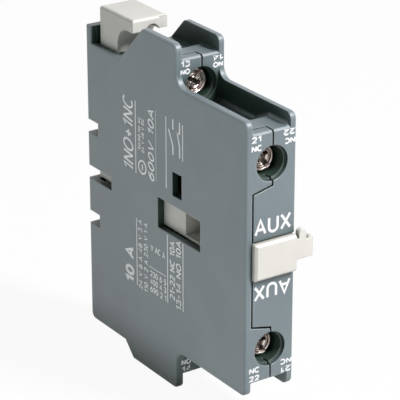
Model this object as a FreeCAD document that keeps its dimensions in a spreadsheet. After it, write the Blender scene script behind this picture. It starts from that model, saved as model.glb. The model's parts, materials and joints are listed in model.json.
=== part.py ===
import FreeCAD, Part
import os
import re
import Sketcher

os.makedirs("parts", exist_ok=True)
doc = FreeCAD.newDocument("AuxiliaryContactBlock")

# Driving sizes in millimetres. Depths are measured from the front face, heights from mid-height.
SIZES = {
    # housing
    "width": 12.5, "wall": 1.5, "depth": 62.6, "stepDepth": 26.0, "frontHalf": 31.2, "stepRise": 9.3,
    "frontLip": 2.8, "rearLip": 3.4, "floorDip": 2.2, "rearFloorDip": 1.8, "floorRound": 1.0,
    "topRun": 39.3, "tailDrop": 3.4, "tailDepth": 14.7, "tailSlant": 3.4, "tailWall": 4.1,
    "latchShelf": 9.3, "shelfSkin": 0.4, "rearWall": 2.0, "rearWallDrop": 5.4,
    "cornerRadius": 1.6, "stepRadius": 2.6, "edgeRound": 0.5,
    "ledgeBevel": 0.4,
    "notchHeight": 3.2, "notchPitch": 11.2, "notchDepth": 4.5, "midNotchDepth": 9.9,
    "windowStart": 16.9, "windowLength": 16.6, "windowHalf": 3.6,
    "slotStart": 24.0, "slotLength": 3.6, "slotLow": 5.95, "slotHeight": 5.6,
    # cover, its tabs and its locating pins
    "seam": 0.4, "tabDepth": 2.4, "tabEdge": 6.1, "tabSkin": 0.8, "tabRise": 1.15, "root": 0.5,
    "pinRadius": 1.2, "pinLength": 4.0, "pinPlay": 0.08, "pinFrontDrop": 5.45, "pinFrontY": 6.8,
    "pinRearY": 46.0, "pinRearZ": 20.0, "play": 0.15,
    # terminals and their screws
    "axisX": 6.1, "frontAxisDrop": 10.0, "rearAxisDrop": 9.9, "funnelRadius": 3.95,
    "mouthDepth": 0.9, "boreRadius": 3.5,
    "frontRecess": 3.5, "rearRecess": 2.2, "headRadius": 3.1, "headHeight": 2.6, "headRound": 0.7,
    "shankRadius": 1.7, "screwLength": 7.8, "screwTip": 0.5, "threadPlay": 0.05, "wellPlay": 0.4,
    "slotWide": 0.9, "slotDeep": 0.9, "crossLong": 3.6, "crossDeep": 1.7,
    "washerSide": 7.0, "washerThick": 1.0, "washerCorner": 0.6, "screwTravel": 3.9, "clampRest": 0.1,
    "strip": 1.2, "padSide": 7.6, "padTaper": 1.2, "legWidth": 5.0, "nutRadius": 2.7, "nutLength": 1.6,
    "wireWidth": 5.7, "wireDepth": 3.75,
    # contacts
    "contactZ": 9.0, "contactGap": 3.0, "tipRadius": 1.5, "tipHeight": 0.6, "tipPlay": 0.05,
    "legEnd": 7.3, "bridgeThick": 0.8, "bridgeWidth": 5.0, "bridgeHalf": 11.0, "chamberPlay": 1.0,
    "dimpleRadius": 0.6, "dimpleHeight": 0.5,
    # carrier
    "travel": 4.0, "beamHalf": 3.3, "beamPlay": 0.2, "barHalf": 4.15, "barOut": 1.4, "barIn": 1.2,
    "barBevel": 0.5, "barPlay": 0.25, "barEnd": 0.4, "pocketStart": 18.6, "pocketEnd": 24.9,
    "pocketDeep": 4.2, "pocketRim": 0.6, "cageBack": 2.0, "tailSide": 4.7, "tailEnd": 46.0,
    "ncSpringGap": 3.0, "noSpringGap": 3.9,
    "lugOut": 3.8, "lugTop": 3.3, "lugLow": 1.4, "lugThick": 1.35, "knobX": 1.05, "knobRadius": 0.9,
    "knobTop": 5.2, "knobFlat": 0.04, "lugGroove": 0.5,
    # latch
    "latchSink": 0.3, "latchFront": 45.5, "latchBack": 59.0, "latchLip": 2.9, "latchWide": 9.1,
    "gripBack": 6.4, "gripRadius": 4.0, "blockRound": 0.7, "latchPocketFront": 44.3,
    "latchStemFront": 54.4, "latchStemBack": 57.4, "latchStemThick": 2.3, "latchFootBack": 60.3,
    "latchFootLow": 0.9, "latchFootHigh": 4.6, "latchTravel": 3.0,
    "shoulderWide": 3.3, "shoulderLow": 12.0, "shoulderHigh": 14.0, "springRoof": 5.2,
    "archRadius": 1.85, "archDrop": 0.5, "archX": 5.8, "faceStep": 0.25, "faceStepWide": 2.2,
    # springs
    "wire": 0.4, "smallWire": 0.3, "returnRadius": 1.35, "contactRadius": 1.5, "latchSpringRadius": 1.2,
    "returnBore": 1.8, "returnBoreDepth": 8.0, "springSeat": 50.8,
    # overshoot of every cut past the face that it opens
    "over": 1.0,
}

# Places that follow from the driving sizes.
PLACES = {
    "left": "-width",
    "innerLeft": "wall - width",
    "innerRight": "-wall",
    "frontTop": "frontHalf - frontLip",
    "frontFloor": "frontTop - floorDip",
    "rearHalf": "frontHalf + stepRise",
    "rearTop": "rearHalf - rearLip",
    "rearFloor": "rearTop - rearFloorDip",
    "tailHalf": "rearHalf - tailDrop",
    "latchFloor": "rearHalf - latchShelf",
    "rearWallTop": "rearHalf - rearWallDrop",
    "frontAxis": "frontHalf - frontAxisDrop",
    "rearAxis": "rearHalf - rearAxisDrop",
    "tabHigh": "frontAxis - funnelRadius - tabSkin",
    "tabLow": "tabHigh - tabRise",
    "pinFrontZ": "tabHigh - pinFrontDrop",
    "frontPlate": "frontRecess + headHeight + washerThick + screwTravel + clampRest",
    "rearPlate": "stepDepth + rearRecess + headHeight + washerThick + screwTravel + clampRest",
    "padHalf": "padSide / 2",
    "ncBridge": "frontPlate + strip + 2 * tipHeight + tipPlay",
    "noBridge": "rearPlate - 2 * tipHeight - tipPlay - contactGap - bridgeThick",
    "overTravel": "travel - contactGap",
    "ncCageStart": "ncBridge - overTravel - tipPlay",
    "ncCageEnd": "ncBridge + bridgeThick + ncSpringGap",
    "noCageStart": "noBridge - noSpringGap",
    "noCageEnd": "noBridge + bridgeThick + tipPlay",
    "blockEnd": "noCageEnd + cageBack",
    "barRoom": "barIn + travel + barPlay",
    "channelHalf": "beamHalf + beamPlay",
    "chamberHalf": "bridgeHalf + chamberPlay",
    "latchTop": "rearHalf - latchSink",
    "latchLow": "latchFloor - play",
    "latchLeft": "innerLeft + play",
    "stemRight": "latchLeft + latchStemThick",
    "springX": "stemRight + shoulderWide / 2",
    "springY": "latchStemFront / 2 + latchStemBack / 2",
    "latchSpringTop": "latchFloor - springRoof",
}


def full(text):
    """Turn words of the size list into an expression on the sheet."""
    def word(match):
        name = match.group(0)
        if name in PLACES:
            return "(" + full(PLACES[name]) + ")"
        return "Sizes." + name
    return re.sub(r"[A-Za-z]+", word, text)


def bind(obj, prop, text):
    """Tie one property of an object to the sheet."""
    obj.setExpression(prop, full(text))


def value(text):
    """Number that an expression gives now."""
    return float(sheet.evalExpression(full(text)))


def move(obj, x="0", y="0", z="0"):
    """Tie an object's place to the sheet."""
    for axis, text in zip("xyz", (x, y, z)):
        bind(obj, "Placement.Base." + axis, text)
    return obj


sheet = doc.addObject("Spreadsheet::Sheet", "Sizes")
for row, (alias, number) in enumerate(SIZES.items(), start=1):
    sheet.set("A%d" % row, alias)
    sheet.set("B%d" % row, str(number))
    sheet.setAlias("B%d" % row, alias)
doc.recompute()


def plane(body, role):
    """Origin plane of a body by its role."""
    return next(item for item in body.Origin.OriginFeatures if item.Role == role)


def new_body(name):
    return doc.addObject("PartDesign::Body", name)


def sketch_on(body, name, role, offset="0"):
    """Empty sketch on an origin plane, shifted along the plane's normal."""
    sketch = body.newObject("Sketcher::SketchObject", name)
    sketch.AttachmentSupport = (plane(body, role), [""])
    sketch.MapMode = "FlatFace"
    bind(sketch, "AttachmentOffset.Base.z", offset)
    return sketch


def pin_point(sketch, geo, pos, across, up):
    """Hold a sketch point at two sheet expressions."""
    for kind, text in (("DistanceX", across), ("DistanceY", up)):
        index = sketch.addConstraint(Sketcher.Constraint(kind, -1, 1, geo, pos, value(text)))
        sketch.setExpression("Constraints[%d]" % index, full(text))


def polygon(sketch, corners):
    """Closed outline whose corners are pairs of sheet expressions."""
    points = [FreeCAD.Vector(value(a), value(b), 0) for a, b in corners]
    first = sketch.GeometryCount
    count = len(points)
    for i in range(count):
        sketch.addGeometry(Part.LineSegment(points[i], points[(i + 1) % count]), False)
    for i in range(count):
        after = first + (i + 1) % count
        sketch.addConstraint(Sketcher.Constraint("Coincident", first + i, 2, after, 1))
    for i, (a, b) in enumerate(corners):
        pin_point(sketch, first + i, 1, a, b)


def rectangle(sketch, low_a, low_b, high_a, high_b):
    polygon(sketch, [(low_a, low_b), (high_a, low_b), (high_a, high_b), (low_a, high_b)])


def circle(sketch, across, up, radius):
    centre = FreeCAD.Vector(value(across), value(up), 0)
    geo = sketch.addGeometry(Part.Circle(centre, FreeCAD.Vector(0, 0, 1), value(radius)), False)
    pin_point(sketch, geo, 3, across, up)
    index = sketch.addConstraint(Sketcher.Constraint("Radius", geo, value(radius)))
    sketch.setExpression("Constraints[%d]" % index, full(radius))


def pad(body, name, sketch, length, reverse=False):
    """Pad along the sketch's normal, or against it."""
    feature = body.newObject("PartDesign::Pad", name)
    feature.Profile = sketch
    bind(feature, "Length", length)
    feature.Reversed = reverse
    sketch.Visibility = False
    return feature


def pocket(body, name, sketch, length, reverse=False):
    """Pocket that must take material away."""
    doc.recompute()
    before = body.Shape.Volume
    feature = body.newObject("PartDesign::Pocket", name)
    feature.Profile = sketch
    bind(feature, "Length", length)
    feature.Reversed = reverse
    doc.recompute()
    if body.Shape.Volume > before - 1e-6:
        raise ValueError(name + " cuts nothing")
    return feature


def edges_where(shape, test):
    """Names of the edges whose middle point and box pass a test."""
    names = []
    for number, edge in enumerate(shape.Edges, start=1):
        if test(edge):
            names.append("Edge%d" % number)
    return names


def fillet(body, name, radius, test):
    """Round the edges of the body's last shape that pass a test."""
    doc.recompute()
    base = body.Tip
    feature = body.newObject("PartDesign::Fillet", name)
    feature.Base = (base, edges_where(base.Shape, test))
    bind(feature, "Radius", radius)
    doc.recompute()
    return feature


def near(first, second):
    return abs(first - second) < 1e-4


def along(edge, axis, places):
    """True for a straight edge along X or Y that runs through one of the places in the plane across it."""
    box = edge.BoundBox
    across = {"X": (box.YLength, box.YMin), "Y": (box.XLength, box.XMin)}[axis]
    if across[0] > 1e-4 or box.ZLength > 1e-4:
        return False
    return any(near(across[1], value(side)) and near(box.ZMin, value(z)) for side, z in places)


def box(name, x, y, z, far_x, far_y, far_z):
    """Block between two corners given as sheet expressions."""
    block = doc.addObject("Part::Box", name)
    bind(block, "Length", "%s - (%s)" % (far_x, x))
    bind(block, "Width", "%s - (%s)" % (far_y, y))
    bind(block, "Height", "%s - (%s)" % (far_z, z))
    return move(block, x, y, z)


def rod(name, axis, x, y, z, radius, length):
    """Cylinder that starts at a place and runs along +X or +Y."""
    turned = {"x": (FreeCAD.Vector(0, 1, 0), 90), "y": (FreeCAD.Vector(1, 0, 0), -90)}
    cylinder = doc.addObject("Part::Cylinder", name)
    bind(cylinder, "Radius", radius)
    bind(cylinder, "Height", length)
    cylinder.Placement = FreeCAD.Placement(FreeCAD.Vector(0, 0, 0), FreeCAD.Rotation(*turned[axis]))
    return move(cylinder, x, y, z)


def fuse(name, shapes):
    joined = doc.addObject("Part::MultiFuse", name)
    joined.Shapes = shapes
    return joined


def cut(name, base, tool):
    result = doc.addObject("Part::Cut", name)
    result.Base = base
    result.Tool = tool
    return result


parts = []


def finish(obj, label, x="0", y="0", z="0"):
    """Name a sub-part and set it in the frame, whose origin lies half the depth behind the front."""
    obj.Label = label
    parts.append(move(obj, x, "%s - depth / 2" % y, z))
    return obj


# Housing: one master form, split afterwards into the base and its cover
def side_wall(body, name, offset):
    """Outline that both side walls share, padded by the wall's thickness towards the inside."""
    sketch = sketch_on(body, name + "Outline", "YZ_Plane", offset)
    polygon(sketch, [
        ("0", "frontHalf"), ("stepDepth", "frontHalf"), ("stepDepth", "rearHalf"),
        ("topRun", "rearHalf"), ("topRun + rearHalf - latchFloor", "latchFloor"),
        ("depth - rearWall", "latchFloor"), ("depth - rearWall", "rearWallTop"),
        ("depth", "rearWallTop"), ("depth", "-tailHalf"), ("depth - tailDepth", "-tailHalf"),
        ("depth - tailDepth - tailSlant", "-rearHalf"), ("stepDepth", "-rearHalf"),
        ("stepDepth", "-frontHalf"), ("0", "-frontHalf"),
    ])
    return pad(body, name, sketch, "wall")


def housing_core(body):
    """Walls and floors between the side walls, with the channels that dip towards each step."""
    sketch = sketch_on(body, "CoreOutline", "YZ_Plane", "left")
    upper = [
        ("0", "frontTop"), ("frontPlate - wireDepth", "frontTop"),
        ("frontPlate + strip", "frontFloor"), ("stepDepth", "frontFloor"),
        ("stepDepth", "rearTop"), ("rearPlate - wireDepth", "rearTop"),
        ("rearPlate + strip", "rearFloor"),
    ]
    lower = [(y, "-(" + z + ")") for y, z in reversed(upper)]
    polygon(sketch, upper + [
        ("latchPocketFront", "rearFloor"), ("latchPocketFront", "latchFloor - shelfSkin"),
        ("depth - rearWall", "latchFloor - shelfSkin"), ("depth - rearWall", "rearWallTop"),
        ("depth", "rearWallTop"), ("depth", "-rearWallTop"),
    ] + lower)
    return pad(body, "Core", sketch, "width")


master = new_body("HousingMaster")
housing_core(master)
side_wall(master, "LeftWall", "left")
side_wall(master, "RightWall", "innerRight")
fillet(master, "StepRounds", "stepRadius", lambda edge: along(
    edge, "X", [("stepDepth", "frontHalf"), ("stepDepth", "-frontHalf")]))
fillet(master, "CornerRounds", "cornerRadius", lambda edge: along(edge, "X", [
    ("0", "frontHalf"), ("0", "-frontHalf"), ("stepDepth", "rearHalf"), ("stepDepth", "-rearHalf"),
    ("topRun", "rearHalf"), ("depth", "-tailHalf")]))


def floor_corner(edge):
    """True where the front channel's floor meets the inner face of a side wall."""
    bounds = edge.BoundBox
    if bounds.XLength > 1e-4 or bounds.YLength < 1e-4 or bounds.YMax > value("stepDepth") + 1e-4:
        return False
    inner = near(bounds.XMin, value("innerLeft")) or near(bounds.XMin, value("innerRight"))
    low, high = sorted(abs(z) for z in (bounds.ZMin, bounds.ZMax))
    return inner and low > value("frontFloor") - 1e-4 and high < value("frontTop") + 1e-4


fillet(master, "FloorRounds", "floorRound", floor_corner)


def outer_rim(edge):
    """True for the edges of the two flat outer faces."""
    bounds = edge.BoundBox
    flat = bounds.XLength < 1e-4
    return flat and (near(bounds.XMin, value("left")) or near(bounds.XMin, 0))


fillet(master, "OuterRims", "edgeRound", outer_rim)

notches = sketch_on(master, "RearNotches", "YZ_Plane", "left")
for middle, reach in (("notchPitch", "notchDepth"), ("0", "midNotchDepth"),
                      ("-notchPitch", "notchDepth")):
    rectangle(notches, "depth - " + reach, middle + " - notchHeight / 2",
              "depth + over", middle + " + notchHeight / 2")
pocket(master, "Notches", notches, "width", True)

ledges = sketch_on(master, "LedgeEdges", "YZ_Plane", "innerLeft")
for face, top in (("0", "frontTop"), ("stepDepth", "rearTop")):
    for sign in ("", "-"):
        polygon(ledges, [(face + " - over", "%s(%s - ledgeBevel - over)" % (sign, top)),
                         (face + " + ledgeBevel + over", "%s(%s + over)" % (sign, top)),
                         (face + " - over", "%s(%s + over)" % (sign, top))])
pocket(master, "LedgeBevels", ledges, "width - 2 * wall", True)


def mechanism_space():
    """Room for the carrier, the bridges and the contact strips, as one profile."""
    body = new_body("MechanismSpace")
    sketch = sketch_on(body, "SpaceOutline", "YZ_Plane", "innerLeft")
    upper = [
        ("-over", "barHalf + barPlay"), ("barRoom", "barHalf + barPlay"),
        ("barRoom", "channelHalf"), ("frontPlate", "channelHalf"),
        ("frontPlate", "frontAxis + padHalf + play"),
        ("frontPlate + strip", "frontAxis + padHalf + play"),
        ("frontPlate + strip", "chamberHalf"), ("ncCageEnd + overTravel", "chamberHalf"),
        ("ncCageEnd + overTravel", "channelHalf"), ("slotStart - play", "channelHalf"),
        ("slotStart - play", "chamberHalf"), ("rearPlate", "chamberHalf"),
        ("rearPlate", "rearAxis + padHalf + play"),
        ("rearPlate + strip", "rearAxis + padHalf + play"),
        ("rearPlate + strip", "channelHalf"), ("springSeat", "channelHalf"),
    ]
    lower = [(y, "-(" + z + ")") for y, z in reversed(upper)]
    polygon(sketch, upper + lower)
    pad(body, "Space", sketch, "width - 2 * wall")
    return body


def terminal_space(name, face, plate, axis, top, sign):
    """Funnel, clamp room, wire entry and screw well of one terminal."""
    up = sign + axis
    start = plate + " - clampRest - screwTravel - washerThick - play"
    mouth = rod(name + "Mouth", "y", "-axisX", face + " - over", up, "funnelRadius",
                "mouthDepth + over")
    funnel = rod(name + "Funnel", "y", "-axisX", face + " - over", up, "boreRadius",
                 "%s - %s + 2 * over" % (start, face))
    room = box(name + "Room", "-axisX - padHalf", start, up + " - padHalf - play",
               "-axisX + padHalf", plate, up + " + padHalf + play")
    reach = [up, top + " + over"] if sign == "" else ["-%s - over" % top, up]
    wire = box(name + "Wire", "-axisX - wireWidth / 2", plate + " - wireDepth", reach[0],
               "-axisX + wireWidth / 2", plate, reach[1])
    nut = rod(name + "Nut", "y", "-axisX", plate, up, "nutRadius + play", "strip + nutLength + play")
    well = rod(name + "Well", "y", "-axisX", plate, up, "shankRadius + wellPlay",
               "screwLength - washerThick - clampRest + play")
    return [mouth, funnel, room, wire, nut, well]


TERMINALS = {
    "21": ("0", "frontPlate", "frontAxis", "frontHalf", ""),
    "22": ("0", "frontPlate", "frontAxis", "frontHalf", "-"),
    "13": ("stepDepth", "rearPlate", "rearAxis", "rearHalf", ""),
    "14": ("stepDepth", "rearPlate", "rearAxis", "rearHalf", "-"),
}

hollows = [mechanism_space()]
for number, (face, plate, axis, top, sign) in TERMINALS.items():
    hollows += terminal_space("Terminal" + number, face, plate, axis, top, sign)
hollows += [
    box("BarSlot", "innerRight - over", "-over", "-barHalf - barPlay",
        "over", "barRoom", "barHalf + barPlay"),
    box("Window", "left - over", "windowStart", "-windowHalf",
        "innerLeft + over", "windowStart + windowLength", "windowHalf"),
    box("Slot", "left - over", "slotStart", "slotLow",
        "innerLeft + over", "slotStart + slotLength", "slotLow + slotHeight"),
    box("StemChannel", "innerLeft", "latchStemFront - play", "-notchHeight / 2",
        "stemRight + play", "latchStemBack + play", "latchFloor"),
    box("FootRoom", "innerLeft", "latchStemFront - play", "-notchHeight / 2",
        "stemRight + play", "latchFootBack + play", "latchFootHigh + latchTravel + play"),
    box("RearHollow", "innerLeft", "depth - notchDepth", "tailWall - tailHalf",
        "innerRight", "depth - rearWall", "latchFloor"),
    box("SpringRoom", "innerLeft", "latchStemFront - play", "shoulderLow - play",
        "stemRight + shoulderWide + play", "latchStemBack + play", "latchSpringTop"),
]
housing = cut("HousingHollowed", master, fuse("Hollows", hollows))


def cover_zone(name, gap, pin_gap):
    """Region that the cover takes of the housing, widened by a gap for the base's share."""
    zone = [box(name + "Plate", "left - over", "-over", "-rearHalf - over",
                "innerLeft", "depth + over", "rearHalf + over")]
    edge = "-tabEdge + " + gap
    for side, sign in (("Top", ""), ("Bottom", "-")):
        body = new_body(name + side + "Tab")
        sketch = sketch_on(body, name + side + "TabOutline", "XZ_Plane", "over")
        polygon(sketch, [
            ("innerLeft - root", sign + "(tabLow - %s)" % gap),
            ("innerLeft", sign + "(tabLow - %s)" % gap),
            (edge, sign + "(tabHigh - %s)" % gap),
            (edge, sign + "(frontHalf)"), ("innerLeft - root", sign + "(frontHalf)")])
        pad(body, name + side + "TabPad", sketch, "over + tabDepth + " + gap, True)
        inner, outer = "rearAxis - funnelRadius - over", "rearHalf"
        low, high = (inner, outer) if sign == "" else ("-%s" % outer, "-(%s)" % inner)
        rear = box(name + side + "RearTab", "innerLeft - root", "stepDepth - over", low,
                   edge, "stepDepth + tabDepth + " + gap, high)
        zone += [body, rear]
        for place in ("Front", "Rear"):
            zone.append(rod(name + side + place + "Pin", "x", "innerLeft - root",
                            "pin%sY" % place, sign + "pin%sZ" % place,
                            "pinRadius + " + pin_gap, "pinLength + root + " + pin_gap))
    return zone


cover_region = fuse("CoverRegion", cover_zone("Cover", "0", "0"))
clear_zone = cover_zone("Clear", "seam", "pinPlay")
clear_zone.append(box("FrontSeam", "innerLeft - root", "-over", "-tabLow",
                      "innerLeft + seam", "root", "tabLow"))
clear_region = fuse("ClearRegion", clear_zone)

cover = doc.addObject("Part::MultiCommon", "SideCover")
cover.Shapes = [housing, cover_region]
finish(cover, "side_cover")
base = cut("BaseHousing", housing, clear_region)
finish(base, "base_housing")


# Carrier: beam with two cages for the bridges, a front bar and the drive lug beyond the mounting face
def contact_carrier():
    body = new_body("ContactCarrier")
    beam = sketch_on(body, "BeamSection", "XZ_Plane", "-barIn / 2")
    rectangle(beam, "latchLeft", "-beamHalf", "innerRight - play", "beamHalf")
    pad(body, "Beam", beam, "blockEnd - barIn / 2", True)
    bar = sketch_on(body, "BarOutline", "XZ_Plane", "barOut")
    rectangle(bar, "latchLeft", "-barHalf", "-barEnd", "barHalf")
    pad(body, "Bar", bar, "barOut + barIn", True)
    lug = sketch_on(body, "LugOutline", "XZ_Plane", "barOut")
    polygon(lug, [
        ("-barEnd - root", "-lugLow"), ("lugOut", "-lugLow"), ("lugOut", "lugTop"),
        ("lugOut - knobRadius", "lugTop"), ("lugOut - knobRadius - lugGroove", "lugTop - lugGroove"),
        ("knobX", "lugTop - lugGroove"), ("knobX", "lugTop"), ("-barEnd - root", "lugTop")])
    pad(body, "Lug", lug, "lugThick", True)
    knob = sketch_on(body, "KnobOutline", "XZ_Plane", "barOut")
    rectangle(knob, "knobX - knobRadius", "-lugLow", "knobX + knobRadius", "knobTop")
    pad(body, "Knob", knob, "lugThick", True)
    tail = sketch_on(body, "TailSection", "XZ_Plane", "-blockEnd + root")
    rectangle(tail, "-axisX - tailSide / 2", "-tailSide / 2", "-axisX + tailSide / 2", "tailSide / 2")
    pad(body, "Tail", tail, "tailEnd - blockEnd + root", True)
    cages = sketch_on(body, "Cages", "XY_Plane", "-beamHalf - over")
    for start, end in (("ncCageStart", "ncCageEnd"), ("noCageStart", "noCageEnd")):
        rectangle(cages, "-axisX - bridgeWidth / 2 - play", start, "-axisX + bridgeWidth / 2 + play", end)
    pocket(body, "CageCuts", cages, "2 * beamHalf + 2 * over", True)
    square = sketch_on(body, "SquarePocket", "YZ_Plane", "latchLeft")
    rectangle(square, "pocketStart", "pocketRim - beamHalf", "pocketEnd", "beamHalf - pocketRim")
    pocket(body, "PocketCut", square, "pocketDeep", True)
    bore = sketch_on(body, "SpringBore", "XZ_Plane", "-tailEnd")
    circle(bore, "-axisX", "0", "returnBore")
    pocket(body, "BoreCut", bore, "returnBoreDepth", True)
    fillet(body, "KnobRound", "knobRadius - knobFlat / 2", lambda edge: along(
        edge, "Y", [("knobX - knobRadius", "knobTop"), ("knobX + knobRadius", "knobTop")]))
    fillet(body, "LugRounds", "lugGroove", lambda edge: along(
        edge, "Y", [("lugOut", "lugTop"), ("lugOut", "-lugLow")]))
    bevel = body.newObject("PartDesign::Chamfer", "BarBevel")
    last = body.Group[-2]
    bevel.Base = (last, edges_where(last.Shape, front_bar_edge))
    bind(bevel, "Size", "barBevel")
    return finish(body, "contact_carrier")


def front_bar_edge(edge):
    """True for the long upper and lower edges and the left end of the bar's front face."""
    bounds = edge.BoundBox
    front = value("-barOut")
    if not (near(bounds.YMin, front) and near(bounds.YMax, front)):
        return False
    level = near(abs(bounds.ZMin), value("barHalf")) and bounds.ZLength < 1e-4
    left_end = near(bounds.XMax, value("latchLeft"))
    return level or left_end


contact_carrier()


# Contact bridges, their tips and the fixed tips
def bridge(label, start, dimple_side):
    """Flat strip across the carrier with a dimple that centres its spring."""
    body = new_body(label.title().replace("_", ""))
    strip = sketch_on(body, label + "Strip", "XZ_Plane", "-(" + start + ")")
    rectangle(strip, "-axisX - bridgeWidth / 2", "-bridgeHalf", "-axisX + bridgeWidth / 2", "bridgeHalf")
    pad(body, label + "Pad", strip, "bridgeThick", True)
    back = dimple_side == "back"
    offset = "-(%s + bridgeThick)" % start if back else "-(%s)" % start
    dimple = sketch_on(body, label + "Dimple", "XZ_Plane", offset)
    circle(dimple, "-axisX", "0", "dimpleRadius")
    pad(body, label + "DimplePad", dimple, "dimpleHeight", back)
    return finish(body, label)


def tips(label, places):
    """Silver rivet heads, one for each (start, height) place."""
    rivets = []
    for index, (start, height) in enumerate(places):
        rivets.append(rod("%s%d" % (label.title().replace("_", ""), index), "y",
                          "-axisX", start, height, "tipRadius", "tipHeight"))
    group = doc.addObject("Part::Compound", label.title().replace("_", "") + "Group")
    group.Links = rivets
    return finish(group, label)


bridge("nc_bridge", "ncBridge", "back")
bridge("no_bridge", "noBridge", "front")
tips("nc_bridge_tips", [("ncBridge - tipHeight", "contactZ"), ("ncBridge - tipHeight", "-contactZ")])
tips("no_bridge_tips", [("noBridge + bridgeThick", "contactZ"), ("noBridge + bridgeThick", "-contactZ")])
tips("fixed_tips", [
    ("frontPlate + strip", "contactZ"), ("frontPlate + strip", "-contactZ"),
    ("rearPlate - tipHeight", "contactZ"), ("rearPlate - tipHeight", "-contactZ")])


# Terminals, clamp washers and screws
def terminal(number, plate, axis, sign):
    """Contact strip with a square pad, a drawn and tapped collar, and a leg to the fixed tip."""
    name = "Terminal" + number
    body = new_body(name + "Strip")
    outline = sketch_on(body, name + "Outline", "XZ_Plane", "-(" + plate + ")")
    half_leg = "legWidth / 2"
    shoulder = axis + " - padHalf - padTaper"
    corners = [
        ("-axisX - padHalf", axis + " + padHalf"), ("-axisX + padHalf", axis + " + padHalf"),
        ("-axisX + padHalf", axis + " - padHalf"), ("-axisX + " + half_leg, shoulder),
        ("-axisX + " + half_leg, "legEnd"), ("-axisX - " + half_leg, "legEnd"),
        ("-axisX - " + half_leg, shoulder), ("-axisX - padHalf", axis + " - padHalf")]
    polygon(outline, [(x, sign + "(" + z + ")") for x, z in corners])
    pad(body, name + "Pad", outline, "strip", True)
    collar = sketch_on(body, name + "Collar", "XZ_Plane", "-(%s + strip)" % plate)
    circle(collar, "-axisX", sign + axis, "nutRadius")
    pad(body, name + "CollarPad", collar, "nutLength", True)
    hole = sketch_on(body, name + "Hole", "XZ_Plane", "-(" + plate + ")")
    circle(hole, "-axisX", sign + axis, "shankRadius + threadPlay")
    pocket(body, name + "HoleCut", hole, "strip + nutLength")
    return finish(body, "terminal_" + number)


def clamp_washer(number, seat, axis, sign):
    """Square captive washer under the screw's head."""
    name = "Washer" + number
    body = new_body(name)
    plate = sketch_on(body, name + "Outline", "XZ_Plane")
    rectangle(plate, "-washerSide / 2", "-washerSide / 2", "washerSide / 2", "washerSide / 2")
    circle(plate, "0", "0", "shankRadius + 2 * threadPlay")
    pad(body, name + "Pad", plate, "washerThick", True)
    fillet(body, name + "Corners", "washerCorner", lambda edge: edge.BoundBox.XLength < 1e-4
           and edge.BoundBox.ZLength < 1e-4)
    return finish(body, "clamp_washer_" + number, "-axisX", seat + " + headHeight", sign + axis)


def terminal_screw(number, seat, axis, sign):
    """Pan head screw with a slot and a cross recess, turned about its own axis."""
    name = "Screw" + number
    body = new_body(name)
    profile = sketch_on(body, name + "Profile", "XY_Plane")
    end = "headHeight + screwLength"
    polygon(profile, [
        ("0", "0"), ("headRadius", "0"), ("headRadius", "headHeight"), ("shankRadius", "headHeight"),
        ("shankRadius", end + " - screwTip"), ("shankRadius - screwTip", end), ("0", end)])
    turned = body.newObject("PartDesign::Revolution", name + "Turned")
    turned.Profile = profile
    turned.ReferenceAxis = (profile, ["V_Axis"])
    turned.Angle = 360
    fillet(body, name + "HeadRound", "headRound", lambda edge: near(edge.BoundBox.YMax, 0)
           and edge.BoundBox.XLength > 1)
    slot = sketch_on(body, name + "Slot", "XZ_Plane")
    rectangle(slot, "-headRadius - over", "-slotWide / 2", "headRadius + over", "slotWide / 2")
    pocket(body, name + "SlotCut", slot, "slotDeep")
    for letter, across, up in (("A", "crossLong", "slotWide"), ("B", "slotWide", "crossLong")):
        cross = sketch_on(body, name + "Cross" + letter, "XZ_Plane")
        rectangle(cross, "-%s / 2" % across, "-%s / 2" % up, "%s / 2" % across, "%s / 2" % up)
        pocket(body, name + "CrossCut" + letter, cross, "crossDeep")
    return finish(body, "terminal_screw_" + number, "-axisX", seat, sign + axis)


for number, (face, plate, axis, top, sign) in TERMINALS.items():
    head_seat = face + (" + frontRecess" if face == "0" else " + rearRecess")
    terminal(number, plate, axis, sign)
    clamp_washer(number, head_seat, axis, sign)
    terminal_screw(number, head_seat, axis, sign)


# Release latch: thumb block with a finger grip under its lip, and a stem down to the middle notch
def release_latch():
    body = new_body("ReleaseLatch")
    block = sketch_on(body, "BlockProfile", "YZ_Plane", "latchLeft")
    low = "latchTop - latchLip"
    grip = "latchFront + gripBack"
    polygon(block, [
        ("latchFront", "latchTop"), ("latchFront", low), (grip, low),
        (grip, "latchLow"), ("latchBack", "latchLow"), ("latchBack", "latchTop")])
    pad(body, "Block", block, "latchWide")
    fillet(body, "FingerGrip", "gripRadius", lambda edge: along(edge, "X", [(grip, low)]))
    fillet(body, "BlockRounds", "blockRound", lambda edge: near(edge.BoundBox.ZMin, value("latchTop")))
    stem = sketch_on(body, "StemProfile", "YZ_Plane", "latchLeft")
    polygon(stem, [
        ("latchStemFront", "latchLow + root"), ("latchStemFront", "-latchFootLow"),
        ("latchFootBack", "-latchFootLow"), ("latchFootBack", "latchFootHigh"),
        ("latchStemBack", "latchFootHigh"), ("latchStemBack", "latchLow + root")])
    pad(body, "Stem", stem, "latchStemThick")
    shoulder = sketch_on(body, "ShoulderProfile", "YZ_Plane", "latchLeft + root")
    rectangle(shoulder, "latchStemFront", "shoulderLow", "latchStemBack", "shoulderHigh")
    pad(body, "Shoulder", shoulder, "latchStemThick - root + shoulderWide")
    arch = sketch_on(body, "ArchOutline", "XZ_Plane", "over - latchFront")
    circle(arch, "-archX", low + " - archDrop", "archRadius")
    pocket(body, "ArchCut", arch, "gripRadius + over")
    step = sketch_on(body, "FaceStepOutline", "XZ_Plane", "over - latchFront")
    rectangle(step, "latchLeft + latchWide - faceStepWide", low + " - over",
              "latchLeft + latchWide + over", "latchTop - faceStep")
    pocket(body, "FaceStepCut", step, "over + faceStep")
    return finish(body, "release_latch")


release_latch()


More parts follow.
